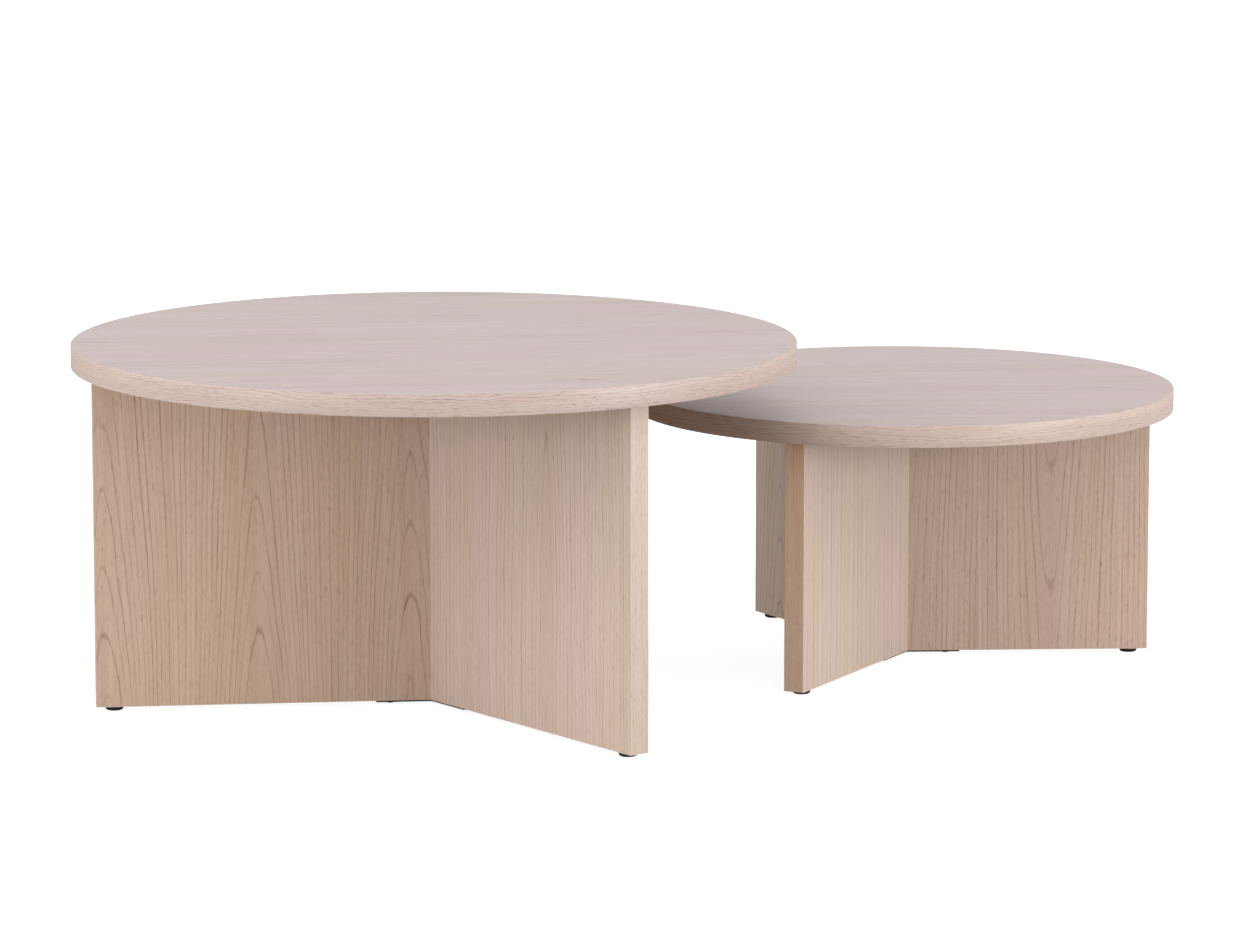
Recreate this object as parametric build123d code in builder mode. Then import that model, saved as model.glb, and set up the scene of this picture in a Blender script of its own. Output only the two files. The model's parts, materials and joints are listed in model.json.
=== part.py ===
"""A set of two round nesting tables on three-panel bases, in millimetres.

Each table is a veneered round top on three upright veneered panels that meet in a mitred Y.
The two tables stand free of each other, and the low one slides in under the tall one.
The origin is on the floor, in the middle of the box round the pair as it stands, with +Z up.
+X runs from the tall table's single left-hand panel towards the open side between its other two.
"""

import os
from math import cos, radians, sin, tan
from types import SimpleNamespace

from build123d import *

# Boards: chipboard with a veneer leaf on each face and a veneer band on each edge
CORE = 25.0
VENEER = 1.0
BAND = 1.0
BOARD = CORE + 2 * VENEER
EASED_EDGE = 0.5
BAND_JOINT = 0.05

# The pair as it stands: the low table's middle as seen from the tall table's middle
TABLE_DISTANCE = 677.0
TABLE_BEARING = 21.5
TALL_RADIUS = 450.0
LOW_RADIUS = 350.0

# Threaded sleeves and the fasteners that go into them, all with the same 6 mm thread
THREAD_R = 3.0
SLEEVE_BORE_R = THREAD_R + 0.05
SLEEVE_BODY_R = 4.3
SLEEVE_R = 5.0
SLEEVE_LENGTH = 13.0
SLEEVE_RIDGE = 1.2
SLEEVE_RIDGES = 5
SLEEVE_RIDGE_STEP = (SLEEVE_LENGTH - SLEEVE_RIDGE) / (SLEEVE_RIDGES - 1)
THREAD_ROOM_R = 3.3
SCREW_LENGTH = 16.0
SCREW_HOLE_R = 3.3
PAN_HEAD_R = 5.4
PAN_HEAD_HEIGHT = 2.1
PAN_HEAD_ROUND = 1.3
FLAT_HEAD_R = 5.6
RECESS_LENGTH = 5.2
RECESS_WIDTH = 1.1
RECESS_DEPTH = 1.3

# Lower plate: a flat steel Y under the panels
LOWER_PLATE = 2.2
LOWER_ARM = 76.0
LOWER_ARM_WIDTH = 22.0
LOWER_ARM_CORNER = 2.0
PLATE_SCREW_R = 58.0

# Upper plate: a flat steel disc let into the panels' top edges
UPPER_PLATE = 3.0
UPPER_PLATE_R = 80.0
UPPER_PLATE_ROOM = 0.5
TOP_SCREW_R = 55.0

# Dowels that keep the top from turning on the panels
DOWEL_R = 4.0
DOWEL_ROOM = 1.0
DOWEL_IN_TOP = 12.0
DOWEL_IN_LEG = 18.0
DOWEL_CHAMFER = 1.0
INNER_DOWEL = 160.0
OUTER_DOWEL_INSET = 60.0

# Levelling feet: a low domed plastic pad moulded on a threaded stud
FOOT_CLEARANCE = 5.5
PAD_GAP = 0.1
PAD_R = 11.25
PAD_HEIGHT = FOOT_CLEARANCE - PAD_GAP
PAD_DOME = 3.2
PAD_TOP_ROUND = 0.5
FOOT_INSET = 23.0
STUD_FOOT = 2.0
STUD_LENGTH = 25.5
STUD_ROOM = 30.0
STUD_CHAMFER = 0.8

MITRE = 60.0  # half of the turn that each of the three panels takes up at the middle

pair_x = TABLE_DISTANCE * cos(radians(TABLE_BEARING))
pair_y = TABLE_DISTANCE * sin(radians(TABLE_BEARING))
tall_x = -(pair_x + LOW_RADIUS - TALL_RADIUS) / 2
tall_y = -(pair_y + LOW_RADIUS - TALL_RADIUS) / 2

# Each leg's side of its table and its bearing from the table's middle
tall = SimpleNamespace(
    name="large",
    radius=TALL_RADIUS,
    height=458.0,
    reach=425.0,
    middle=(tall_x, tall_y),
    legs={"left": 180.0, "front": 300.0, "back": 60.0},
)
low = SimpleNamespace(
    name="small",
    radius=LOW_RADIUS,
    height=354.0,
    reach=321.0,
    middle=(tall_x + pair_x, tall_y + pair_y),
    legs={"right": -4.1, "front": -124.1, "back": 115.9},
)

os.makedirs("parts", exist_ok=True)


def underside(table):
    return table.height - BOARD


def level(table, height, bearing=None):
    """A level plane over a table's middle, its X along the leg on that bearing, or along the first leg."""
    turn = radians(list(table.legs.values())[0] if bearing is None else bearing)
    return Plane(origin=(*table.middle, height), x_dir=(cos(turn), sin(turn), 0), z_dir=(0, 0, 1))


def thirds(radius, turn=0.0):
    """Three spots at one radius, a third of a turn apart."""
    angles = [radians(turn + k * 120) for k in range(3)]
    return [(radius * cos(a), radius * sin(a)) for a in angles]


def rods(plane, spots, radius, length, mode=Mode.ADD):
    """A rod at every spot, from the plane along its normal, or against it if the length is negative."""
    with BuildSketch(plane) as ends:
        with Locations(*spots):
            Circle(radius)
    extrude(ends.sketch, amount=length, mode=mode)


def pockets(plane, spots, radius, depth):
    rods(plane, spots, radius, depth, mode=Mode.SUBTRACT)


def cross_recesses(plane, spots, depth):
    """The cross that a screwdriver fits, cut into every screw head."""
    with BuildSketch(plane) as crosses:
        with Locations(*spots):
            Rectangle(RECESS_LENGTH, RECESS_WIDTH)
            Rectangle(RECESS_WIDTH, RECESS_LENGTH)
    extrude(crosses.sketch, amount=depth, mode=Mode.SUBTRACT)


def save(piece, name):
    piece.part.label = name
    export_step(piece.part, f"parts/{name}.step")


# The round top


def dowel_radii(table):
    return INNER_DOWEL, table.reach - OUTER_DOWEL_INSET


def cut_top_pockets(table):
    """Pockets in the underside: two dowels over each leg, and three sleeves between the legs."""
    under = level(table, underside(table))
    for radius in dowel_radii(table):
        pockets(under, thirds(radius), DOWEL_R, DOWEL_IN_TOP + DOWEL_ROOM)
    pockets(under, thirds(TOP_SCREW_R, 60), SLEEVE_R, SLEEVE_LENGTH)
    pockets(under, thirds(TOP_SCREW_R, 60), THREAD_ROOM_R, SLEEVE_LENGTH + DOWEL_ROOM)


def make_top_board(table):
    inside_band = table.radius - BAND
    middle = [(0, 0)]

    with BuildPart() as core:
        rods(level(table, underside(table) + VENEER), middle, inside_band, CORE)
        cut_top_pockets(table)
    save(core, f"{table.name}_top_core")

    with BuildPart() as backing:
        rods(level(table, underside(table)), middle, inside_band, VENEER)
        cut_top_pockets(table)
    save(backing, f"{table.name}_top_underside_veneer")

    with BuildPart() as face:
        rods(level(table, table.height - VENEER), middle, inside_band, VENEER)
    save(face, f"{table.name}_top_face_veneer")


def make_top_band(table):
    """The band round the top's edge, as tall as the whole board, with its two outer rims eased."""
    with BuildPart() as band:
        with BuildSketch(level(table, underside(table))):
            Circle(table.radius)
            Circle(table.radius - BAND, mode=Mode.SUBTRACT)
        extrude(amount=BOARD)
        outer_rims = band.edges().filter_by(GeomType.CIRCLE).group_by(SortBy.RADIUS)[-1]
        fillet(outer_rims, EASED_EDGE)
    save(band, f"{table.name}_top_edge_band")


# The three upright panels


def leg_outline(reach, half):
    """Plan of a whole leg, which ends at the table's middle in a point between two mitres."""
    shoulder = half / tan(radians(MITRE))
    Polygon(
        (0, 0),
        (shoulder, half),
        (reach, half),
        (reach, -half),
        (shoulder, -half),
        align=None,
    )


def leaf_outline(reach, near, far):
    """Plan of a leaf on a leg's side, from near to far off the leg's middle line, with one mitred end."""
    slope = tan(radians(MITRE))
    Polygon(
        (abs(near) / slope, near),
        (reach, near),
        (reach, far),
        (abs(far) / slope, far),
        align=None,
    )


def cut_leg_pockets(table, bearing):
    """A leg's pockets: a plate screw at each inner corner, a foot, two dowels, and the upper plate's seat."""
    floor_edge = level(table, FOOT_CLEARANCE, bearing)
    top_edge = level(table, underside(table), bearing)
    plate_seat = level(table, underside(table) - UPPER_PLATE, bearing)
    screw = (PLATE_SCREW_R, 0)
    foot = (table.reach - FOOT_INSET, 0)
    dowels = [(radius, 0) for radius in dowel_radii(table)]
    pockets(floor_edge, [screw, foot], SLEEVE_R, SLEEVE_LENGTH)
    pockets(floor_edge, [screw, foot], THREAD_ROOM_R, STUD_ROOM)
    pockets(plate_seat, [(0, 0)], UPPER_PLATE_R + UPPER_PLATE_ROOM, UPPER_PLATE)
    pockets(plate_seat, [screw], SLEEVE_R, -SLEEVE_LENGTH)
    pockets(plate_seat, [screw], THREAD_ROOM_R, -SCREW_LENGTH)
    pockets(top_edge, dowels, DOWEL_R, -(DOWEL_IN_LEG + DOWEL_ROOM))


def make_leg_board(table, side, bearing):
    """The chipboard core of a leg and the veneer leaves on its two faces."""
    name = f"{table.name}_{side}_leg"
    half_core = CORE / 2
    half_board = BOARD / 2
    reach = table.reach - BAND
    foot_of_board = FOOT_CLEARANCE + BAND
    height = underside(table) - foot_of_board

    with BuildPart() as core:
        with BuildSketch(level(table, foot_of_board, bearing)):
            leg_outline(reach, half_core)
        extrude(amount=height)
        cut_leg_pockets(table, bearing)
    save(core, f"{name}_core")

    leaves = {
        "anticlockwise": (half_core, half_board),
        "clockwise": (-half_core, -half_board),
    }
    for face, (near, far) in leaves.items():
        with BuildPart() as leaf:
            with BuildSketch(level(table, foot_of_board, bearing)):
                leaf_outline(reach, near, far)
            extrude(amount=height)
            cut_leg_pockets(table, bearing)
        save(leaf, f"{name}_{face}_veneer")


def make_leg_bands(table, side, bearing):
    """The band on a leg's outer end, with eased corners, and the band along its lower edge."""
    with BuildPart() as bands:
        with BuildSketch(level(table, FOOT_CLEARANCE, bearing)) as end_plan:
            with Locations((table.reach - BAND / 2, 0)):
                Rectangle(BAND, BOARD)
            outer_corners = end_plan.vertices().group_by(Axis.X)[-1]
            fillet(outer_corners, EASED_EDGE)
        extrude(amount=underside(table) - FOOT_CLEARANCE)
        with BuildSketch(level(table, FOOT_CLEARANCE, bearing)):
            leg_outline(table.reach - BAND - BAND_JOINT, BOARD / 2)
        extrude(amount=BAND)
        cut_leg_pockets(table, bearing)
    save(bands, f"{table.name}_{side}_leg_edge_bands")


# What holds the panels together and the top down


def make_lower_plate(table):
    with BuildPart() as plate:
        with BuildSketch(level(table, FOOT_CLEARANCE - LOWER_PLATE)):
            with PolarLocations(LOWER_ARM / 2, 3):
                RectangleRounded(LOWER_ARM, LOWER_ARM_WIDTH, LOWER_ARM_CORNER)
            with PolarLocations(PLATE_SCREW_R, 3):
                Circle(SCREW_HOLE_R, mode=Mode.SUBTRACT)
        extrude(amount=LOWER_PLATE)
    save(plate, f"{table.name}_lower_plate")


def make_upper_plate(table):
    """A disc with three countersunk holes for the legs' screws and three plain ones for the top's."""
    with BuildPart() as plate:
        with BuildSketch(level(table, underside(table) - UPPER_PLATE)):
            Circle(UPPER_PLATE_R)
            with Locations(*thirds(TOP_SCREW_R, 60)):
                Circle(SCREW_HOLE_R, mode=Mode.SUBTRACT)
        extrude(amount=UPPER_PLATE)
        with Locations(level(table, underside(table))):
            with PolarLocations(PLATE_SCREW_R, 3):
                CounterSinkHole(SCREW_HOLE_R, FLAT_HEAD_R, counter_sink_angle=90)
    save(plate, f"{table.name}_upper_plate")


def make_pan_screws(table, seat_height, spots, name):
    """Screws that point up, with their low round heads under a seat at that height."""
    seat = level(table, seat_height)
    head_bottom = level(table, seat_height - PAN_HEAD_HEIGHT)
    with BuildPart() as screws:
        rods(seat, spots, PAN_HEAD_R, -PAN_HEAD_HEIGHT)
        fillet(screws.edges().group_by(Axis.Z)[0], PAN_HEAD_ROUND)
        rods(seat, spots, THREAD_R, SCREW_LENGTH)
        cross_recesses(head_bottom, spots, RECESS_DEPTH)
    save(screws, name)


def make_flat_screws(table):
    """Screws that point down through the upper plate, with countersunk heads flush with its top."""
    spots = thirds(PLATE_SCREW_R)
    plate_top = level(table, underside(table))
    with BuildPart() as screws:
        with BuildSketch(plate_top):
            with Locations(*spots):
                Circle(FLAT_HEAD_R)
        extrude(amount=-(FLAT_HEAD_R - THREAD_R), taper=45)
        rods(plate_top, spots, THREAD_R, -SCREW_LENGTH)
        cross_recesses(plate_top, spots, -RECESS_DEPTH)
    save(screws, f"{table.name}_upper_plate_screws")


def add_sleeves(plane, spots, way):
    """Ribbed threaded sleeves pressed into the board, from the plane along its normal or against it."""
    rods(plane, spots, SLEEVE_BODY_R, way * SLEEVE_LENGTH)
    for ridge in range(SLEEVE_RIDGES):
        start = plane.offset(way * ridge * SLEEVE_RIDGE_STEP)
        rods(start, spots, SLEEVE_R, way * SLEEVE_RIDGE)
    pockets(plane, spots, SLEEVE_BORE_R, way * SLEEVE_LENGTH)


def make_sleeves(table):
    """Sleeves in the legs for plate screws and feet, and in the top's underside for its own screws."""
    feet_and_screws = thirds(PLATE_SCREW_R) + thirds(table.reach - FOOT_INSET)
    with BuildPart() as in_legs:
        add_sleeves(level(table, FOOT_CLEARANCE), feet_and_screws, 1)
        add_sleeves(level(table, underside(table) - UPPER_PLATE), thirds(PLATE_SCREW_R), -1)
    save(in_legs, f"{table.name}_leg_threaded_sleeves")

    with BuildPart() as in_top:
        add_sleeves(level(table, underside(table)), thirds(TOP_SCREW_R, 60), 1)
    save(in_top, f"{table.name}_top_threaded_sleeves")


def make_dowels(table):
    spots = [spot for radius in dowel_radii(table) for spot in thirds(radius)]
    with BuildPart() as dowels:
        rods(level(table, underside(table) - DOWEL_IN_LEG), spots, DOWEL_R, DOWEL_IN_LEG + DOWEL_IN_TOP)
        ends = dowels.edges().filter_by(GeomType.CIRCLE)
        chamfer(ends, DOWEL_CHAMFER)
    save(dowels, f"{table.name}_dowels")


# The levelling feet


def make_foot(table, side, bearing):
    """A foot's pad, whose lower rim is domed, and the stud that it is moulded on."""
    name = f"{table.name}_{side}_foot"
    spot = [(table.reach - FOOT_INSET, 0)]

    with BuildPart() as pad:
        rods(level(table, 0, bearing), spot, PAD_R, PAD_HEIGHT)
        fillet(pad.edges().group_by(Axis.Z)[0], PAD_DOME)
        fillet(pad.edges().group_by(Axis.Z)[-1], PAD_TOP_ROUND)
        pockets(level(table, STUD_FOOT, bearing), spot, THREAD_R, PAD_HEIGHT)
    save(pad, f"{name}_pad")

    with BuildPart() as stud:
        rods(level(table, STUD_FOOT, bearing), spot, THREAD_R, STUD_LENGTH)
        chamfer(stud.edges().group_by(Axis.Z)[-1], STUD_CHAMFER)
    save(stud, f"{name}_stud")


for table in (tall, low):
    make_top_board(table)
    make_top_band(table)
    for side, bearing in table.legs.items():
        make_leg_board(table, side, bearing)
        make_leg_bands(table, side, bearing)
        make_foot(table, side, bearing)
    make_lower_plate(table)
    make_upper_plate(table)
    make_pan_screws(
        table, FOOT_CLEARANCE - LOWER_PLATE, thirds(PLATE_SCREW_R), f"{table.name}_lower_plate_screws"
    )
    make_pan_screws(
        table, underside(table) - UPPER_PLATE, thirds(TOP_SCREW_R, 60), f"{table.name}_top_screws"
    )
    make_flat_screws(table)
    make_sleeves(table)
    make_dowels(table)
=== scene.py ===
# %% [markdown]
# # Two nesting tables in whitewashed veneer
# Two round tables stand on three veneered panels each, and the low one slides in under the tall one.
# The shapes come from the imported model, which is loaded here as a fixed frame: nothing in it is moved.
# Blender adds what that model leaves plain: the grain of the veneer, the black and plated metal,
# smoother rims, moulded feet and real threads on their studs.

# %% Load the tables as a fixed frame
import json
import math

import bmesh
import bpy
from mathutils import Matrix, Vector

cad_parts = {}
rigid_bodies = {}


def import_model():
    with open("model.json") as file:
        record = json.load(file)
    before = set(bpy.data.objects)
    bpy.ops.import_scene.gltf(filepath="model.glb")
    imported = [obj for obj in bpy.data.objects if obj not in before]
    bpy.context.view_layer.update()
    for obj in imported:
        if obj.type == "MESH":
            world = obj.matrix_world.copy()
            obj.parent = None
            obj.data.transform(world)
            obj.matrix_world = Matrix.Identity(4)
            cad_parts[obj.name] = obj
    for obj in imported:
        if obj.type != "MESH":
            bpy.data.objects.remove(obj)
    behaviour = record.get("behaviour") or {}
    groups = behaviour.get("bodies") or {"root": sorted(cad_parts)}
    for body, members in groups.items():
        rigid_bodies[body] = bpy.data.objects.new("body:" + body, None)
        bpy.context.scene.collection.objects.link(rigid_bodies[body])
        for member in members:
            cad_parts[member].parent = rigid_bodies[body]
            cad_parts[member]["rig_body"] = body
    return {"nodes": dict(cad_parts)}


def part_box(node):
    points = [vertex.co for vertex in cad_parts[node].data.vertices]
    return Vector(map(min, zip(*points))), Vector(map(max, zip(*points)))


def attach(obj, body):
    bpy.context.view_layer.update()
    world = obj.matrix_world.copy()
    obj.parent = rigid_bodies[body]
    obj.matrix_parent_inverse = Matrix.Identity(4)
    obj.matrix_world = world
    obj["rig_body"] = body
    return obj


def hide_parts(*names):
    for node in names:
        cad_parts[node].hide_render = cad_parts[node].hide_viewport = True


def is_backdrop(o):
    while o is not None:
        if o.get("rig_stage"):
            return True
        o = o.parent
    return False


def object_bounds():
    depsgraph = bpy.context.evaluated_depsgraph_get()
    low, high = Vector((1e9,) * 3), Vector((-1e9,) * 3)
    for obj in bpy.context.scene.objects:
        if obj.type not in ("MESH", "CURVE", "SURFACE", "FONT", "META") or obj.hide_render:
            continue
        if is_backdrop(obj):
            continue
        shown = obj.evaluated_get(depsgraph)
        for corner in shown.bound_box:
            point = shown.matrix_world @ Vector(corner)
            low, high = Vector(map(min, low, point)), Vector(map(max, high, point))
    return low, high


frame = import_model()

cad_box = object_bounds()

# %% [markdown]
# ## Where the tables stand
# Every finish has to know where its piece is: the grain on a leg runs up it, and the grain on a rim runs round it.
# A leg's direction is the line from its table's middle to its foot, so both are measured on the model.
# The three feet are evenly spaced, so the mean of their places is the table's middle.

# %% Measure each table's middle and the way each leg points
MM = 0.001
LEGS = {"large": ("left", "front", "back"), "small": ("right", "front", "back")}


def centre_of(node):
    low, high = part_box(node)
    return (low + high) / 2


table_middle, leg_turn = {}, {}
for table, legs in LEGS.items():
    feet = [centre_of(f"{table}_{leg}_foot_pad") for leg in legs]
    middle = sum(feet, Vector()) / len(feet)
    middle.z = 0
    table_middle[table] = middle
    for leg, foot in zip(legs, feet):
        leg_turn[table, leg] = math.atan2(foot.y - middle.y, foot.x - middle.x)
        print(table, leg, "leg points at", round(math.degrees(leg_turn[table, leg]), 1), "degrees")

# %% [markdown]
# ## Short words for nodes
# A finish is a tree of small nodes. Making each one takes several lines of Python, so these helpers do it in one.
# `put` adds a node and fills its sockets, with a link where the value is another node's output.
# The others are the few kinds that wood needs most: sums, clouds of noise, soft steps and mixed colours.

# %% Helpers that add nodes
def put(tree, kind, sockets=None, **settings):
    node = tree.nodes.new(kind)
    for name, value in settings.items():
        setattr(node, name, value)
    for name, value in (sockets or {}).items():
        socket = node.inputs[name]
        if isinstance(value, bpy.types.NodeSocket):
            tree.links.new(value, socket)
        else:
            socket.default_value = value
    return node


def reckon(tree, operation, *values):
    return put(tree, "ShaderNodeMath", dict(enumerate(values)), operation=operation).outputs[0]


def cloud(tree, x, y, z, detail=2.0, roughness=0.5):
    """Soft noise from 0 to 1, about 0.5 on average."""
    place = put(tree, "ShaderNodeCombineXYZ", {"X": x, "Y": y, "Z": z}).outputs[0]
    settings = {"Vector": place, "Scale": 1.0, "Detail": detail, "Roughness": roughness}
    return put(tree, "ShaderNodeTexNoise", settings).outputs["Fac"]


def soft_step(tree, value, start, end, low=0.0, high=1.0):
    """Goes smoothly from low to high as value goes from start to end."""
    sockets = {"Value": value, "From Min": start, "From Max": end, "To Min": low, "To Max": high}
    return put(tree, "ShaderNodeMapRange", sockets, interpolation_type="SMOOTHSTEP").outputs[0]


def blend_tones(tree, share, first, second):
    return put(tree, "ShaderNodeMix", {0: share, 6: first, 7: second}, data_type="RGBA").outputs[2]


def tone(red, green, blue):
    """A colour as a paint chart gives it, from 0 to 255, made into Blender's linear values."""
    def linear(value):
        value /= 255
        return value / 12.92 if value <= 0.04045 else ((value + 0.055) / 1.055) ** 2.4

    return (linear(red), linear(green), linear(blue), 1.0)


print("helpers ready")

# %% [markdown]
# ## The figure of a sliced veneer
# A veneer leaf is a slice through a log. The log's year rings are nested cones, a little thinner towards the top,
# and the slice cuts them: near the heart it gives tall pointed arches, and further out straight lines.
# So the figure isn't painted. It is worked out from the log itself.
#
# - `Across` and `Along` say where a point is on the leaf, and `Heart` where the leaf passes nearest the log's heart.
# - The distance to the heart line, plus a small taper along the log, says how many rings out the point is.
#   The taper fades away from the heart, where the lines of a real leaf run almost straight.
# - Leaves come off the log one after another and are laid side by side, so the figure repeats, slipped a little.
#
# A brick or wave texture would be simpler, but its lines never close into arches.
# The maths lives in a node group, so that every leaf on both tables shares it with its own numbers.

# %% Helpers for the node group
def new_group(name, inputs, outputs):
    group = bpy.data.node_groups.new(name, "ShaderNodeTree")
    for socket in inputs:
        group.interface.new_socket(socket, in_out="INPUT", socket_type="NodeSocketFloat")
    for socket, kind in outputs:
        group.interface.new_socket(socket, in_out="OUTPUT", socket_type=kind)
    return group, put(group, "NodeGroupInput").outputs


FIGURE_INPUTS = ("Across", "Along", "Heart", "Leaf width", "Slip", "Depth", "Taper", "Start", "Ring gap",
                 "Wander", "Waviness", "Seed", "Line strength", "Pore strength")

# %% Build the ring lines of a leaf
LEAF_SEED_STEP = 7.3
LEAN_FULL_TO, LEAN_FADED_AT, LEAN_LEFT = 0.02, 0.10, 0.12

figure, leaf = new_group(
    "veneer figure", FIGURE_INPUTS,
    (("Line", "NodeSocketFloat"), ("Near heart", "NodeSocketFloat")))

from_heart = reckon(figure, "SUBTRACT", leaf["Across"], leaf["Heart"])
leaf_number = reckon(figure, "ROUND", reckon(figure, "DIVIDE", from_heart, leaf["Leaf width"]))
on_leaf = reckon(figure, "SUBTRACT", from_heart, reckon(figure, "MULTIPLY", leaf_number, leaf["Leaf width"]))
up_leaf = reckon(figure, "MULTIPLY_ADD", leaf_number, leaf["Slip"], leaf["Along"])
leaf_seed = reckon(figure, "MULTIPLY_ADD", leaf_number, LEAF_SEED_STEP, leaf["Seed"])

squared = reckon(figure, "MULTIPLY", on_leaf, on_leaf)
depth_squared = reckon(figure, "MULTIPLY", leaf["Depth"], leaf["Depth"])
to_heart = reckon(figure, "SQRT", reckon(figure, "ADD", squared, depth_squared))
rings_out = reckon(figure, "SUBTRACT", to_heart, leaf["Depth"])

out_from_heart = reckon(figure, "ABSOLUTE", on_leaf)
lean_share = soft_step(figure, out_from_heart, LEAN_FULL_TO, LEAN_FADED_AT, 1.0, LEAN_LEFT)
lean = reckon(figure, "MULTIPLY", leaf["Taper"], lean_share)
rise = reckon(figure, "SUBTRACT", up_leaf, leaf["Start"])
rings_out = reckon(figure, "MULTIPLY_ADD", rise, lean, rings_out)
print("cone field ready")

# %% [markdown]
# A real log is never a clean cone. Two clouds of noise, stretched along the grain, push the rings about:
# a slow one that bends them together and a finer one that gives each line its own small wobble.
# `Wander` is how far they are pushed, and `Waviness` how quickly that changes along the grain.
# Rings also grow wider in good years than in bad ones, so the spacing is uneven too, and some lines are faint.
# Near the heart the slice runs almost along the rings, so a line would smear there. It is kept narrower instead.

# %% Let the rings wander and vary
WOBBLE_SHARE = 0.30
GOOD_YEARS_PER_RING = 0.37
AFTER_LINE, BEFORE_LINE = 0.27, -0.10
FAINTEST_RING = 0.38

waves_up = reckon(figure, "MULTIPLY", up_leaf, leaf["Waviness"])


def leaf_cloud(across, up, detail):
    """Noise on the leaf: so many clouds to a metre across it and up it."""
    return cloud(figure, reckon(figure, "MULTIPLY", on_leaf, across), leaf_seed,
                 reckon(figure, "MULTIPLY", waves_up, up), detail)


slow_bend = leaf_cloud(across=9.0, up=2.6, detail=1.0)
small_wobble = leaf_cloud(across=70.0, up=11.0, detail=2.0)
come_and_go = leaf_cloud(across=75.0, up=6.0, detail=1.0)
push = reckon(figure, "MULTIPLY_ADD", reckon(figure, "SUBTRACT", small_wobble, 0.5), WOBBLE_SHARE,
              reckon(figure, "SUBTRACT", slow_bend, 0.5))
rings_out = reckon(figure, "MULTIPLY_ADD", push, leaf["Wander"], rings_out)
ring_count = reckon(figure, "DIVIDE", rings_out, leaf["Ring gap"])

years = reckon(figure, "MULTIPLY", ring_count, GOOD_YEARS_PER_RING)
good_years = cloud(figure, years, leaf["Seed"], 0.0, 1.0)
ring_count = reckon(figure, "MULTIPLY_ADD", reckon(figure, "SUBTRACT", good_years, 0.5), 1.0, ring_count)
this_ring = reckon(figure, "ROUND", ring_count)
in_ring = reckon(figure, "SUBTRACT", ring_count, this_ring)

line_width = soft_step(figure, out_from_heart, 0.0, 0.03, 0.45, 1.0)
after_line = soft_step(figure, in_ring, 0.0, reckon(figure, "MULTIPLY", line_width, AFTER_LINE), 1.0, 0.0)
before_line = soft_step(figure, in_ring, reckon(figure, "MULTIPLY", line_width, BEFORE_LINE), 0.0)
line = reckon(figure, "MULTIPLY", after_line, before_line)
line = reckon(figure, "MULTIPLY", line, soft_step(figure, come_and_go, 0.32, 0.68, 0.5, 1.12))
ring_chance = put(figure, "ShaderNodeTexWhiteNoise",
                  {"W": reckon(figure, "ADD", this_ring, leaf_seed)}, noise_dimensions="1D").outputs["Value"]
ring_strength = reckon(figure, "MULTIPLY_ADD", ring_chance, 1 - FAINTEST_RING, FAINTEST_RING)
line = reckon(figure, "MULTIPLY", line, ring_strength)
near_heart = soft_step(figure, out_from_heart, 0.0, 0.045, 1.0, 0.0)
put(figure, "NodeGroupOutput", {"Line": line, "Near heart": near_heart})
print("figure group:", len(figure.nodes), "nodes")

# %% [markdown]
# ## Whitewash over open grain
# The tables are finished in a thin white stain under a matt lacquer. The stain lies on the hard wood as a pale,
# slightly rosy veil, and the ring lines and pores stay darker, because they are open and take it up differently.
# Down the leaf the colour drifts between rosy and straw, and fine fibres run everywhere.
# The group below turns the ring lines into a colour, a roughness and a height.

# %% Tones of the whitewashed wood
ROSY = tone(189, 165, 153)
STRAW = tone(187, 165, 147)
PALE = tone(198, 180, 168)
LINE = tone(140, 113, 99)
PORE = tone(117, 89, 75)

whitewash, wood = new_group(
    "whitewashed veneer", FIGURE_INPUTS,
    (("Color", "NodeSocketColor"), ("Roughness", "NodeSocketFloat"), ("Height", "NodeSocketFloat")))

rings = put(whitewash, "ShaderNodeGroup", node_tree=figure)
for socket in FIGURE_INPUTS:
    whitewash.links.new(wood[socket], rings.inputs[socket])

# %% Fibres, streaks and pores
def grain_cloud(across, along, offset, detail=2.0):
    """Noise stretched along the grain: so many clouds to a metre across it and along it."""
    return cloud(whitewash, reckon(whitewash, "MULTIPLY", wood["Across"], across),
                 reckon(whitewash, "ADD", wood["Seed"], offset),
                 reckon(whitewash, "MULTIPLY", wood["Along"], along), detail)


drift = grain_cloud(14.0, 1.1, 3.1)
streaks = grain_cloud(110.0, 2.4, 5.7)
fibres = grain_cloud(420.0, 9.0, 8.9, 3.0)
pores = soft_step(whitewash, grain_cloud(700.0, 105.0, 12.3, 1.0), 0.56, 0.70)

line_share = reckon(whitewash, "MULTIPLY", rings.outputs["Line"],
                    soft_step(whitewash, fibres, 0.25, 0.75, 0.75, 1.15))
pore_share = reckon(whitewash, "MULTIPLY", pores, reckon(whitewash, "MULTIPLY_ADD", line_share, 0.65, 0.35))

# %% Mix the colour, roughness and height
ground = blend_tones(whitewash, soft_step(whitewash, drift, 0.35, 0.65), ROSY, STRAW)
ground = blend_tones(whitewash, soft_step(whitewash, streaks, 0.35, 0.75, 0.0, 0.45), ground, PALE)
ground = blend_tones(whitewash, reckon(whitewash, "MULTIPLY", rings.outputs["Near heart"], 0.10), ground, LINE)
ground = blend_tones(whitewash, soft_step(whitewash, fibres, 0.3, 0.8, 0.0, 0.16), ground, LINE)
lined = blend_tones(whitewash, reckon(whitewash, "MULTIPLY", line_share, wood["Line strength"]), ground, LINE)
pored = blend_tones(whitewash, reckon(whitewash, "MULTIPLY", pore_share, wood["Pore strength"]), lined, PORE)
roughness = reckon(whitewash, "MULTIPLY_ADD", line_share, 0.08,
                   soft_step(whitewash, fibres, 0.2, 0.8, 0.40, 0.50))
height = reckon(whitewash, "MULTIPLY_ADD", line_share, -0.35,
                reckon(whitewash, "MULTIPLY_ADD", pores, -0.5, reckon(whitewash, "MULTIPLY", fibres, 0.3)))
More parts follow.
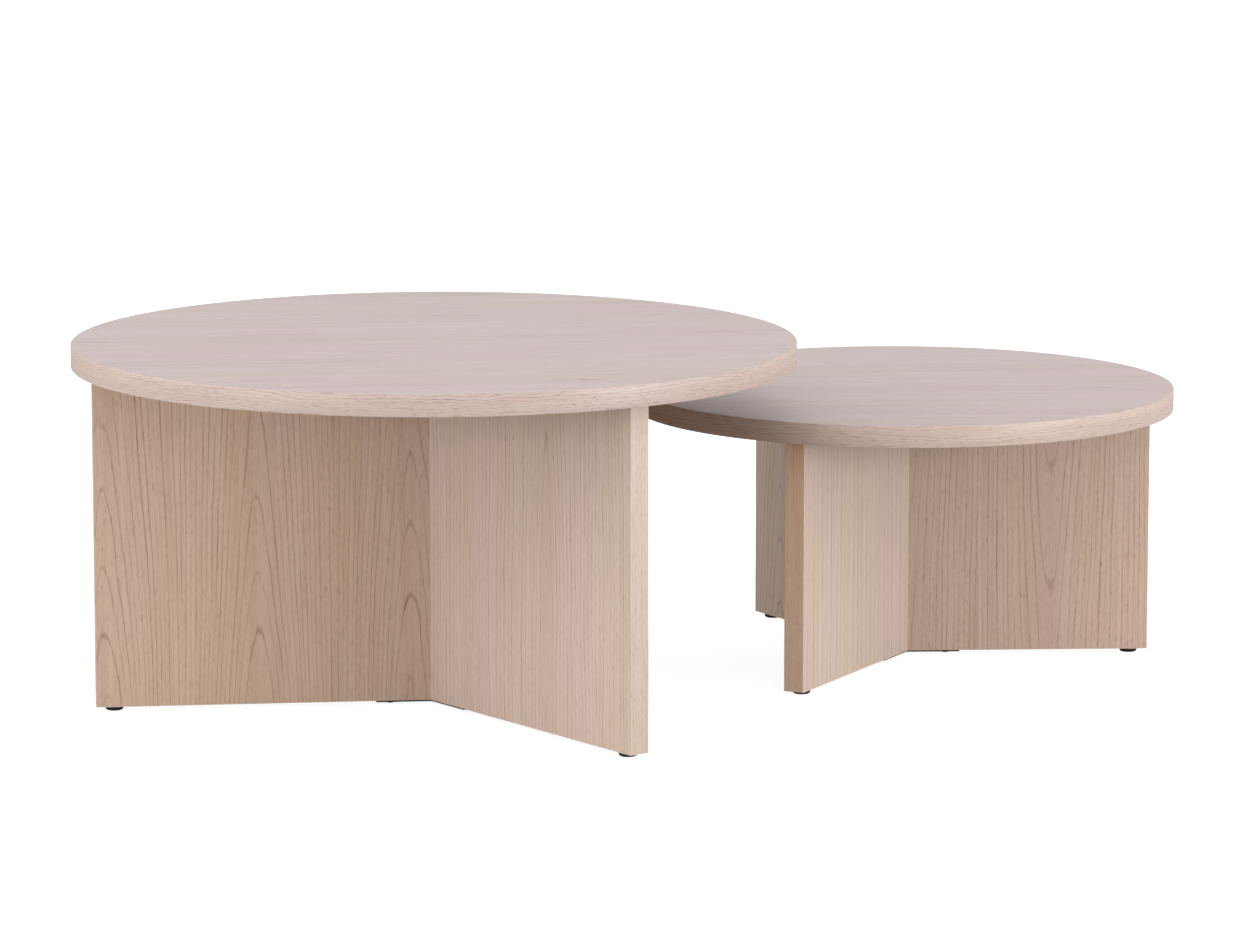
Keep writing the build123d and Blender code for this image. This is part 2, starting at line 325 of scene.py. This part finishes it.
put(whitewash, "NodeGroupOutput", {"Color": pored, "Roughness": roughness, "Height": height})
print("whitewash group:", len(whitewash.nodes), "nodes")

# %% [markdown]
# ## One finish for each leaf
# A finish needs to know which way its own grain runs. A Mapping node set to Texture moves the point to the table's
# middle and turns it with the leg, so X is out along the leg, Y is through the board and Z is up.
# Object coordinates stay with a piece when it moves, so the grain moves with the table as the joint slides.

# %% Start a finish, place it on its table and end it
UNTINTED = (1.0, 1.0, 1.0)
PLAIN_GLOSS = 0.5
PORE_DEPTH = 0.05 * MM


def new_finish(name):
    material = bpy.data.materials.new(name)
    material.use_nodes = True
    material.node_tree.nodes.clear()
    return material, material.node_tree


def object_point(tree):
    return put(tree, "ShaderNodeTexCoord").outputs["Object"]


def place_on_table(tree, middle, turn):
    placed = put(tree, "ShaderNodeMapping",
                 {"Vector": object_point(tree), "Location": middle, "Rotation": (0, 0, turn)},
                 vector_type="TEXTURE").outputs[0]
    return put(tree, "ShaderNodeSeparateXYZ", {"Vector": placed}).outputs


def relief(tree, strength, depth, height):
    return put(tree, "ShaderNodeBump", {"Strength": strength, "Distance": depth, "Height": height}).outputs[0]


def surface(tree, **sockets):
    """Ends a finish with one shader. A socket's name is written with _ for each space."""
    shader = put(tree, "ShaderNodeBsdfPrincipled",
                 {name.replace("_", " "): value for name, value in sockets.items()})
    put(tree, "ShaderNodeOutputMaterial", {"Surface": shader.outputs[0]})


# %% Lacquer a leaf of veneer
def lacquer(tree, across, along, leaf, tone_and_painted_light=UNTINTED, gloss=PLAIN_GLOSS):
    """Puts the whitewashed veneer under a matt lacquer. leaf holds the numbers of this leaf's figure."""
    veneer = put(tree, "ShaderNodeGroup", node_tree=whitewash)
    for name, value in {"Across": across, "Along": along, **leaf}.items():
        if isinstance(value, bpy.types.NodeSocket):
            tree.links.new(value, veneer.inputs[name])
        else:
            veneer.inputs[name].default_value = value
    # The colour is multiplied by tone_and_painted_light. On most pieces that is their own tone. On two leg leaves,
    # one leg's edge bands and the face leaves of the tops, it also carries painted shade, painted light and a
    # painted sheen.
    tinted = put(tree, "ShaderNodeMix", {0: 1.0, 6: veneer.outputs["Color"], 7: (*tone_and_painted_light, 1.0)},
                 data_type="RGBA", blend_type="MULTIPLY").outputs[2]
    surface(tree, Base_Color=tinted, Roughness=veneer.outputs["Roughness"], IOR=1.5, Specular_IOR_Level=gloss,
            Normal=relief(tree, 0.6, PORE_DEPTH, veneer.outputs["Height"]))


# %% [markdown]
# The makers cut two kinds of leaf. Crown-cut leaves pass near the heart and show arches. Quarter-cut leaves are
# sliced towards the heart and show only straight lines. Both are the same log with other numbers.

# %% Numbers for the two cuts
CROWN_LEAF_WIDTH, CROWN_SLIP, CROWN_DEPTH, CROWN_WANDER = 0.191, 0.018, 0.022, 0.012
QUARTER_LEAF_WIDTH = 1.2


def crown_cut(heart, start, seed, taper=0.062, strength=0.85, gap=5.8 * MM, pores=0.62):
    return {"Heart": heart, "Leaf width": CROWN_LEAF_WIDTH, "Slip": CROWN_SLIP, "Depth": CROWN_DEPTH,
            "Taper": taper, "Start": start, "Ring gap": gap, "Wander": CROWN_WANDER, "Waviness": 1.0,
            "Seed": seed, "Line strength": strength, "Pore strength": pores}


def quarter_cut(heart, seed, taper=0.006, gap=7.2 * MM, strength=0.75, depth=0.006, wander=0.010,
                waviness=1.0, pores=0.55):
    return {"Heart": heart, "Leaf width": QUARTER_LEAF_WIDTH, "Slip": 0.0, "Depth": depth,
            "Taper": taper, "Start": 0.0, "Ring gap": gap, "Wander": wander, "Waviness": waviness,
            "Seed": seed, "Line strength": strength, "Pore strength": pores}


LEG_LEAVES = {
    ("large", "left", "anticlockwise"): crown_cut(0.2227, 0.200, taper=0.058, seed=1.0),
    ("large", "left", "clockwise"): quarter_cut(0.30, seed=2.0),
    ("large", "front", "anticlockwise"): crown_cut(0.12, 0.21, seed=3.0),
    ("large", "front", "clockwise"): quarter_cut(0.253, taper=0.022, seed=4.0, depth=0.009, wander=0.022,
                                                 strength=0.62),
    ("large", "back", "anticlockwise"): crown_cut(0.19, 0.15, taper=-0.06, seed=5.0),
    ("large", "back", "clockwise"): quarter_cut(0.10, seed=6.0, taper=0.01),
    ("small", "right", "anticlockwise"): quarter_cut(0.22, seed=7.0),
    ("small", "right", "clockwise"): crown_cut(0.193, 0.080, taper=-0.038, seed=8.0, gap=6.8 * MM,
                                               strength=0.72),
    ("small", "front", "anticlockwise"): quarter_cut(-0.30, gap=13.0 * MM, seed=9.0, strength=0.5,
                                                     wander=0.005),
    ("small", "front", "clockwise"): crown_cut(0.16, 0.13, seed=10.0),
    ("small", "back", "anticlockwise"): crown_cut(0.262, 0.12, seed=11.0),
    ("small", "back", "clockwise"): quarter_cut(0.18, seed=12.0, taper=0.009),
}


# Four leaves are tinted. The tall table's left leg, anticlockwise face, is made darker and more saturated: painted
# shade, standing in for the dark of its inner corner under the top.
# The low table's front leg, anticlockwise face, is made lighter and cooler: painted light, lifting the shade that
# falls on it.
# The other two tints make one leaf a little lighter and one a little warmer.
LEAF_TONES_AND_PAINTED_LIGHT = {
    ("large", "left", "anticlockwise"): (0.99, 0.93, 0.84),
    ("large", "front", "clockwise"): (1.03, 1.04, 1.05),
    ("small", "right", "clockwise"): (1.00, 0.96, 0.92),
    ("small", "front", "anticlockwise"): (1.07, 1.12, 1.14),
}


def paint(node, finish):
    """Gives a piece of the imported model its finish."""
    piece = frame["nodes"][node]
    if not piece.material_slots:
        piece.data.materials.append(None)
    for slot in piece.material_slots:
        slot.material = finish


# %% Veneer the legs
for (table, leg, face), figure_numbers in LEG_LEAVES.items():
    finish, tree = new_finish(f"whitewashed veneer, {table} {leg} leg, {face} face")
    place = place_on_table(tree, table_middle[table], leg_turn[table, leg])
    lacquer(tree, place["X"], place["Z"], figure_numbers, LEAF_TONES_AND_PAINTED_LIGHT.get((table, leg, face), UNTINTED))
    paint(f"{table}_{leg}_leg_{face}_veneer", finish)
print("leg leaves veneered:", len(LEG_LEAVES))

# %% [markdown]
# ## Edge bands on the legs
# The raw edges of a board are covered with a narrow strip of the same veneer, grain running along the strip.
# On a leg's outer end it runs up, and along the lower edge it runs out from the middle.
# One finish serves both: below the height of the lower strip it takes its length along the leg.

# %% Band the legs
BAND_FIGURE = {"heart": 0.05, "taper": 0.004, "strength": 0.34, "wander": 0.006, "depth": 0.001,
               "gap": 4.2 * MM}
BAND_TINT = (0.98, 1.00, 1.00)
# The low table's front leg has both edge bands made much lighter and warmer: painted light, lifting the shade that
# the tall table casts on them.
BAND_PAINTED_LIGHT = {("small", "front"): (1.34, 1.25, 1.08)}
FIRST_BAND_SEED = 20.0

lower_band_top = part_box("large_left_leg_core")[0].z + 0.1 * MM
for number, (table, leg) in enumerate(leg_turn):
    finish, tree = new_finish(f"whitewashed edging, {table} {leg} leg")
    place = place_on_table(tree, table_middle[table], leg_turn[table, leg])
    on_lower_band = reckon(tree, "LESS_THAN", place["Z"], lower_band_top)
    along_band = reckon(tree, "MULTIPLY_ADD", on_lower_band,
                        reckon(tree, "SUBTRACT", place["X"], place["Z"]), place["Z"])
    lacquer(tree, place["Y"], along_band, quarter_cut(seed=FIRST_BAND_SEED + number, **BAND_FIGURE),
            BAND_PAINTED_LIGHT.get((table, leg), BAND_TINT))
    paint(f"{table}_{leg}_leg_edge_bands", finish)
print("lower bands end", round(lower_band_top / MM, 2), "mm up")

# %% [markdown]
# ## Table tops
# The face leaf of a top is pressed on in long leaves laid side by side. They run straight across the tall table,
# and on the low one in line with its right-hand leg. The underside has a plainer balancing leaf.

# %% Veneer the tops
TOP_GRAIN = {"large": 0.0, "small": leg_turn["small", "right"]}
TOP_LEAVES = {
    ("large", "face"): crown_cut(0.03, 0.10, taper=0.03, seed=31.0, strength=0.38, gap=7.5 * MM, pores=0.35),
    ("large", "underside"): quarter_cut(0.2, seed=32.0),
    ("small", "face"): crown_cut(-0.04, -0.05, taper=0.03, seed=33.0, strength=0.42, gap=7.5 * MM,
                                 pores=0.35),
    ("small", "underside"): quarter_cut(0.1, seed=34.0),
}
# The face leaves are tinted cooler and less red. This is partly their own tone and partly a painted sheen: the pale
# cast that the white room's reflection gives them at a low angle. Their lacquer shines less instead.
TOP_TONE_AND_PAINTED_SHEEN = {"face": (0.86, 0.925, 1.085), "underside": UNTINTED}
TOP_GLOSS = {"face": 0.22, "underside": PLAIN_GLOSS}
top_finish = {}
for (table, side), figure_numbers in TOP_LEAVES.items():
    finish, tree = new_finish(f"whitewashed veneer, {table} top {side}")
    place = place_on_table(tree, table_middle[table], TOP_GRAIN[table])
    lacquer(tree, place["Y"], place["X"], figure_numbers, TOP_TONE_AND_PAINTED_SHEEN[side], TOP_GLOSS[side])
    top_finish[table, side] = finish
    paint(f"{table}_top_{side}_veneer", finish)
print("top leaves veneered:", len(top_finish))

# %% [markdown]
# ## Rims turned as one smooth ring
# The band round a top is a strip bent into a hoop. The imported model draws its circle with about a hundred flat
# facets, which show against a pale background, so the hoop and the face leaf inside it are made again here,
# much finer.
# A hoop could be a bevelled curve, but a spin of its cross-section gives clean rings of edges,
# and those can then be rounded like the sanded arris of the real band.

# %% Turn a ring from its cross-section
ROUND_STEPS = 384
ARRIS, ARRIS_SEGMENTS = 0.5 * MM, 3
TOUCHING = 0.001 * MM
ON_THE_RING = 0.02 * MM
SMOOTH_BELOW = math.radians(40)


def new_shape(outline, middle, steps):
    """A closed outline of (distance out, height) points, turned once round an upright line through middle."""
    shape = bmesh.new()
    corners = [shape.verts.new((middle.x + out, middle.y, height)) for out, height in outline]
    sides = [shape.edges.new(pair) for pair in zip(corners, corners[1:] + corners[:1])]
    bmesh.ops.spin(shape, geom=corners + sides, cent=(middle.x, middle.y, 0), axis=(0, 0, 1),
                   angle=math.tau, steps=steps, use_merge=True)
    bmesh.ops.remove_doubles(shape, verts=shape.verts, dist=TOUCHING)
    bmesh.ops.recalc_face_normals(shape, faces=shape.faces)
    return shape


def ring_edges(shape, middle, out, height):
    """The edges that run round at one distance from the middle and one height."""
    def there(vert):
        distance = math.hypot(vert.co.x - middle.x, vert.co.y - middle.y)
        return abs(distance - out) < ON_THE_RING and abs(vert.co.z - height) < ON_THE_RING

    return [edge for edge in shape.edges if all(there(vert) for vert in edge.verts)]


def round_over(shape, edges, size, segments):
    bmesh.ops.bevel(shape, geom=edges, offset=size, offset_type="OFFSET", segments=segments, profile=0.5,
                    affect="EDGES", material=-1, clamp_overlap=True)


def finished_piece(name, shape, finish, node):
    """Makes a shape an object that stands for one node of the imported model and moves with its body."""
    mesh = bpy.data.meshes.new(name)
    shape.to_mesh(mesh)
    shape.free()
    mesh.polygons.foreach_set("use_smooth", [True] * len(mesh.polygons))
    mesh.set_sharp_from_angle(angle=SMOOTH_BELOW)
    mesh.materials.append(finish)
    piece = bpy.data.objects.new(name, mesh)
    bpy.context.scene.collection.objects.link(piece)
    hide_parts(node)
    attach(piece, frame["nodes"][node]["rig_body"])


# %% The finish of a rim band
RIM_FIGURE = {"heart": -0.02, "taper": 0.011, "gap": 3.6 * MM, "strength": 0.62, "depth": 0.001,
              "wander": 0.020, "waviness": 3.0, "pores": 0.75}
RIM_TINTS = {"large": (0.87, 0.90, 0.955), "small": (0.92, 0.945, 0.99)}
FIRST_RIM_SEED = 41.0


def rim_finish(table, radius, seed):
    """Grain that runs round the rim. The band's two ends meet at the back."""
    finish, tree = new_finish(f"whitewashed edging, {table} rim")
    place = place_on_table(tree, table_middle[table], math.radians(-90))
    turn = reckon(tree, "ARCTAN2", place["Y"], place["X"])
    along_rim = reckon(tree, "MULTIPLY", turn, radius)
    lacquer(tree, place["Z"], along_rim, quarter_cut(seed=seed, **RIM_FIGURE), RIM_TINTS[table])
    return finish


# %% Make both rims and both face leaves
def reach(low, high, middle):
    """How far a round piece with this box goes out from its table's middle."""
    return max(high.x - middle.x, high.y - middle.y, middle.x - low.x, middle.y - low.y)


for number, table in enumerate(LEGS):
    middle = table_middle[table]
    low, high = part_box(f"{table}_top_edge_band")
    radius = reach(low, high, middle)
    leaf_low, leaf_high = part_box(f"{table}_top_face_veneer")
    inner = reach(leaf_low, leaf_high, middle)

    section = [(inner, low.z), (radius, low.z), (radius, high.z), (inner, high.z)]
    hoop = new_shape(section, middle, ROUND_STEPS)
    arrises = ring_edges(hoop, middle, radius, low.z) + ring_edges(hoop, middle, radius, high.z)
    round_over(hoop, arrises, ARRIS, ARRIS_SEGMENTS)
    finished_piece(f"{table}_rim_band", hoop, rim_finish(table, radius, FIRST_RIM_SEED + number),
                   f"{table}_top_edge_band")

    disc = bmesh.new()
    rim = bmesh.ops.create_circle(disc, cap_ends=True, radius=inner, segments=ROUND_STEPS)["verts"]
    bmesh.ops.translate(disc, verts=rim, vec=(middle.x, middle.y, leaf_low.z))
    raised = bmesh.ops.extrude_face_region(disc, geom=disc.faces[:])["geom"]
    bmesh.ops.translate(disc, verts=[part for part in raised if isinstance(part, bmesh.types.BMVert)],
                        vec=(0, 0, leaf_high.z - leaf_low.z))
    bmesh.ops.recalc_face_normals(disc, faces=disc.faces)
    finished_piece(f"{table}_face_leaf", disc, top_finish[table, "face"],
                   f"{table}_top_face_veneer")
    print(table, "rim", round(2 * radius / MM, 1), "mm across, face leaf", round(2 * inner / MM, 1))

# %% [markdown]
# ## Chipboard
# The cores are chipboard: glued flakes of mixed wood, pressed flat. They are hidden when the tables are whole.
# Voronoi cells squeezed flat make the flakes, each with its own brown, and the cell borders are the dark glue.

# %% Mix the chipboard
FLAKES_PER_METRE, FLAKE_SQUASH = 320.0, 2.6


def core_finish():
    finish, tree = new_finish("chipboard")
    point = object_point(tree)
    flat = put(tree, "ShaderNodeMapping", {"Vector": point, "Scale": (1.0, 1.0, FLAKE_SQUASH)}).outputs[0]
    cells = {"Vector": flat, "Scale": FLAKES_PER_METRE}
    flakes = put(tree, "ShaderNodeTexVoronoi", cells)
    borders = put(tree, "ShaderNodeTexVoronoi", cells, feature="DISTANCE_TO_EDGE")
    shade = put(tree, "ShaderNodeSeparateColor", {"Color": flakes.outputs["Color"]}).outputs["Red"]
    flake = blend_tones(tree, shade, tone(150, 112, 74), tone(214, 180, 134))
    glue = soft_step(tree, borders.outputs["Distance"], 0.0, 0.08, 0.7, 0.0)
    colour = blend_tones(tree, glue, flake, tone(92, 66, 42))
    fuzz = put(tree, "ShaderNodeTexNoise", {"Vector": point, "Scale": 1800.0, "Detail": 2.0}).outputs["Fac"]
    surface(tree, Base_Color=colour, Roughness=soft_step(tree, fuzz, 0.2, 0.8, 0.8, 0.95),
            Normal=relief(tree, 0.8, 0.2 * MM, reckon(tree, "MULTIPLY_ADD", fuzz, 0.4, shade)))
    return finish


chipboard = core_finish()
print("chipboard mixed")

# %% [markdown]
# ## Black powder coat, black screws and black feet
# Three blacks that differ in how they shine. Powder coat melts into a skin with a fine orange peel.
# Phosphated screws are a mottled charcoal. The feet are moulded, with a fine even texture from the mould.
# All three are a dark colour with a cloud of noise in both roughness and relief, so one recipe makes them.

# %% Mix a speckled finish
FINE_TO_BROAD = 14


def speckled_finish(name, dark, light, speckle, rough, depth, metallic=0.0, gloss=PLAIN_GLOSS):
    """speckle is how many specks there are to a metre, and rough the lowest and highest roughness."""
    finish, tree = new_finish(name)
    point = object_point(tree)
    fine = put(tree, "ShaderNodeTexNoise", {"Vector": point, "Scale": speckle, "Detail": 3.0}).outputs["Fac"]
    broad = put(tree, "ShaderNodeTexNoise",
                {"Vector": point, "Scale": speckle / FINE_TO_BROAD, "Detail": 2.0}).outputs["Fac"]
    both = reckon(tree, "MULTIPLY_ADD", broad, 0.5, reckon(tree, "MULTIPLY", fine, 0.5))
    colour = blend_tones(tree, soft_step(tree, both, 0.35, 0.68), dark, light)
    surface(tree, Base_Color=colour, Roughness=soft_step(tree, both, 0.3, 0.7, *rough), Metallic=metallic,
            Specular_IOR_Level=gloss, Normal=relief(tree, 0.5, depth, fine))
    return finish


powder_coat = speckled_finish("black powder coat", tone(7, 7, 7), tone(18, 17, 16), speckle=1400.0,
                              rough=(0.42, 0.60), depth=0.05 * MM, gloss=0.2)
phosphate = speckled_finish("black phosphate", tone(22, 21, 21), tone(46, 43, 41), speckle=2200.0,
                            rough=(0.34, 0.55), depth=0.02 * MM, metallic=0.4)
moulded_black = speckled_finish("moulded black plastic", tone(9, 8, 8), tone(22, 20, 19), speckle=2600.0,
                                rough=(0.38, 0.52), depth=0.02 * MM, gloss=0.35)
zinc = speckled_finish("zinc plating", tone(176, 172, 160), tone(214, 214, 210), speckle=900.0,
                       rough=(0.24, 0.42), depth=0.01 * MM, metallic=1.0)
print("blacks and zinc mixed")

# %% [markdown]
# ## Beech dowels
# A dowel is cut from straight-grained beech, which has short brown flecks along its length.

# %% Mix the beech
def beech_finish():
    finish, tree = new_finish("fluted beech")
    place = put(tree, "ShaderNodeSeparateXYZ", {"Vector": object_point(tree)}).outputs

    def upright_cloud(across, up, detail):
        rates = {"X": across, "Y": across, "Z": up}
        return cloud(tree, *(reckon(tree, "MULTIPLY", place[axis], rate) for axis, rate in rates.items()), detail)

    fibre = upright_cloud(across=900.0, up=40.0, detail=3.0)
    fleck = soft_step(tree, upright_cloud(across=1500.0, up=260.0, detail=1.0), 0.60, 0.70)
    colour = blend_tones(tree, fibre, tone(196, 152, 108), tone(226, 190, 148))
    colour = blend_tones(tree, reckon(tree, "MULTIPLY", fleck, 0.5), colour, tone(140, 96, 62))
    surface(tree, Base_Color=colour, Roughness=soft_step(tree, fibre, 0.2, 0.8, 0.55, 0.75),
            Normal=relief(tree, 0.6, 0.1 * MM, fibre))
    return finish


beech = beech_finish()
print("beech mixed")

# %% Finish the parts that hold the tables together
HARDWARE = {
    "top_core": chipboard, "lower_plate": powder_coat, "upper_plate": powder_coat,
    "lower_plate_screws": phosphate, "upper_plate_screws": phosphate, "top_screws": phosphate,
    "leg_threaded_sleeves": zinc, "top_threaded_sleeves": zinc, "dowels": beech,
}
for table, legs in LEGS.items():
    for part, finish in HARDWARE.items():
        paint(f"{table}_{part}", finish)
    for leg in legs:
        paint(f"{table}_{leg}_leg_core", chipboard)
print("hardware finished:", ", ".join(HARDWARE))

# %% [markdown]
# ## Feet and their threads
# Each foot is a low moulded pad, domed round its lower edge, on a threaded stud that screws up into the leg.
# The pad is turned from a plain outline and its edges are rounded over.
# The stud's thread is real: one tooth of the thread is spun round the stud, and climbs one pitch on each turn.
# A bump map would look the same from afar, but a foot screws out by 8 mm, and then the thread shows edge-on.

# %% Turn the pads
PAD_STEPS = 72
PAD_DOME, PAD_DOME_SEGMENTS = 3.2 * MM, 8
PAD_TOP_EDGE, PAD_TOP_SEGMENTS = 0.4 * MM, 2


def moulded_pad(table, leg):
    node = f"{table}_{leg}_foot_pad"
    low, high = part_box(node)
    middle, radius = (low + high) / 2, (high.x - low.x) / 2
    pad = new_shape([(0, low.z), (radius, low.z), (radius, high.z), (0, high.z)], middle, PAD_STEPS)
    round_over(pad, ring_edges(pad, middle, radius, low.z), PAD_DOME, PAD_DOME_SEGMENTS)
    round_over(pad, ring_edges(pad, middle, radius, high.z), PAD_TOP_EDGE, PAD_TOP_SEGMENTS)
    finished_piece(f"{table}_{leg}_moulded_pad", pad, moulded_black, node)


# %% Cut the threads
PITCH, TOOTH = 1.0 * MM, 0.55 * MM
CREST_LOW, CREST_HIGH = 0.44 * PITCH, 0.56 * PITCH
THREAD_STEPS = 28
PLAIN_TURNS = 2
NEAR_AN_END = 2.2 * PITCH


def threaded_stud(table, leg):
    node = f"{table}_{leg}_foot_stud"
    low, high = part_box(node)
    middle, radius = (low + high) / 2, (high.x - low.x) / 2
    root = radius - TOOTH
    turns = int((high.z - low.z) / PITCH) - PLAIN_TURNS
    tooth = [(root, 0.0), (radius, CREST_LOW), (radius, CREST_HIGH), (root, PITCH)]
    stud = bmesh.new()
    points = [stud.verts.new((middle.x + out, middle.y, low.z + PITCH / 2 + up)) for out, up in tooth]
    sides = [stud.edges.new(pair) for pair in zip(points, points[1:])]
    bmesh.ops.spin(stud, geom=points + sides, cent=middle, axis=(0, 0, 1), dvec=(0, 0, PITCH / THREAD_STEPS),
                   angle=math.tau * turns, steps=THREAD_STEPS * turns, use_merge=False)
    bmesh.ops.remove_doubles(stud, verts=stud.verts, dist=TOUCHING)
    for end in (low.z, high.z):
        open_edges = [edge for edge in stud.edges if edge.is_boundary
                      and all(abs(vert.co.z - end) < NEAR_AN_END for vert in edge.verts)]
        collar = bmesh.ops.extrude_edge_only(stud, edges=open_edges)["geom"]
        for vert in (part for part in collar if isinstance(part, bmesh.types.BMVert)):
            out = Vector((vert.co.x - middle.x, vert.co.y - middle.y)).normalized() * root
            vert.co = (middle.x + out.x, middle.y + out.y, end)
        bmesh.ops.remove_doubles(stud, verts=stud.verts, dist=TOUCHING)
        bmesh.ops.holes_fill(stud, edges=[edge for edge in stud.edges if edge.is_boundary
                                          and abs(edge.verts[0].co.z - end) < 0.1 * PITCH])
    bmesh.ops.recalc_face_normals(stud, faces=stud.faces)
    open_left = sum(edge.is_boundary for edge in stud.edges)
    finished_piece(f"{table}_{leg}_threaded_stud", stud, zinc, node)
    return turns, open_left


# %% Fit all six feet
for table, leg in leg_turn:
    moulded_pad(table, leg)
    turns, open_left = threaded_stud(table, leg)
    print(table, leg, "foot: thread of", turns, "turns, open edges", open_left)

# %% [markdown]
# ## Studio
# The tables stand on a pale, even floor in a white room. Two large soft boxes stand low in front of them, to the
# left and the right, and reach in under the tops. Two more at the sides brighten the rims where they curve away,
# and a faint one high in front lights the tops.
# The floor glows a little for the camera only. It stays plain white round the feet, with just a hint of shadow,
# and doesn't wash light up under the tops.

# %% Lay the floor
FLOOR_HALF = 40.0
FLOOR_GLOW = 0.88
FLOOR_TONES = tone(158, 158, 158), tone(162, 162, 162)


def pale_floor():
    finish, tree = new_finish("pale studio floor")
    mottle = put(tree, "ShaderNodeTexNoise",
                 {"Vector": object_point(tree), "Scale": 3.0, "Detail": 3.0}).outputs["Fac"]
    seen_directly = put(tree, "ShaderNodeLightPath").outputs["Is Camera Ray"]
    surface(tree, Base_Color=blend_tones(tree, mottle, *FLOOR_TONES), Roughness=0.9, Specular_IOR_Level=0.1,
            Emission_Color=(1, 1, 1, 1), Emission_Strength=reckon(tree, "MULTIPLY", seen_directly, FLOOR_GLOW))
    ground_shape = bmesh.new()
    bmesh.ops.create_grid(ground_shape, x_segments=8, y_segments=8, size=FLOOR_HALF)
    mesh = bpy.data.meshes.new("floor")
    ground_shape.to_mesh(mesh)
    ground_shape.free()
    mesh.materials.append(finish)
    floor = bpy.data.objects.new("floor", mesh)
    bpy.context.scene.collection.objects.link(floor)
    floor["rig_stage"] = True


pale_floor()
print("floor laid")

# %% Hang the lights
TABLE_MIDST = Vector((0, 0, 0.2))
LAMPS_AWAY = 4.2
LAMP_WIDTH = 2.2
# Degrees to the right of straight in front, degrees up, height of the soft box in metres, and watts.
LAMPS = {
    "low left soft box": (-50, 6, 1.2, 63.0),
    "low right soft box": (50, 6, 1.2, 85.0),
    "left side soft box": (-100, 20, 2.0, 60.0),
    "right side soft box": (100, 20, 2.0, 43.0),
    "upper soft box": (0, 50, 2.0, 31.0),
}


def soft_box(name, around, up, height, watts):
    around, up = math.radians(around), math.radians(up)
    towards = Vector((math.sin(around) * math.cos(up), -math.cos(around) * math.cos(up), math.sin(up)))
    lamp = bpy.data.lights.new(name, "AREA")
    lamp.shape, lamp.size, lamp.size_y, lamp.energy = "RECTANGLE", LAMP_WIDTH, height, watts
    box = bpy.data.objects.new(name, lamp)
    box.location = TABLE_MIDST + LAMPS_AWAY * towards
    box.rotation_euler = (-towards).to_track_quat("-Z", "Y").to_euler()
    box.visible_camera = False
    bpy.context.scene.collection.objects.link(box)


for name, numbers in LAMPS.items():
    soft_box(name, *numbers)

world = bpy.data.worlds.new("white studio")
world.use_nodes = True
world.node_tree.nodes.clear()
background = put(world.node_tree, "ShaderNodeBackground", {"Color": (1, 1, 1, 1), "Strength": 1.0})
put(world.node_tree, "ShaderNodeOutputWorld", {"Surface": background.outputs[0]})
bpy.context.scene.world = world
bpy.context.scene.view_settings.view_transform = "Standard"
print("lights hung:", len(LAMPS))

# %% [markdown]
# ## Camera
# A long lens from well back keeps the circles calm. The camera stands in front of the tall table, a little to its
# right, turned slightly and looking down by about nine degrees.

# %% Set the camera
CAMERA_OFFSET = Vector((0.2286, -7.4525, 0.0))
CAMERA_HEIGHT = 1.5256
CAMERA_HEADING, CAMERA_PITCH = math.radians(6.65), 0.16273
LENS, SENSOR = 176.48, 36.0

offset = CAMERA_OFFSET.copy()
offset.rotate(Vector((0, 1, 0)).rotation_difference(
    Vector((math.sin(CAMERA_HEADING), math.cos(CAMERA_HEADING), 0))))
lens = bpy.data.cameras.new("camera")
lens.lens, lens.sensor_width, lens.clip_end = LENS, SENSOR, 200.0
lens.dof.use_dof = False
camera = bpy.data.objects.new("camera", lens)
camera.location = table_middle["large"] + offset + Vector((0, 0, CAMERA_HEIGHT))
camera.rotation_euler = (math.pi / 2 - CAMERA_PITCH, 0, -CAMERA_HEADING)
bpy.context.scene.collection.objects.link(camera)
bpy.context.scene.camera = camera
print("camera at", [round(value, 3) for value in camera.location])

# %% [markdown]
# ## Boxes of the model and of the finished tables
# Both boxes are printed, the imported model's and the finished tables'. The finished tables may not be
# larger than the model they were built round.

# %% Print both boxes
visual_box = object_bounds()
boxes = {"cad": [list(corner) for corner in cad_box], "visual": [list(corner) for corner in visual_box]}
for name, (low, high) in boxes.items():
    print(name, "box in mm:", [round((top - bottom) / MM, 2) for bottom, top in zip(low, high)])
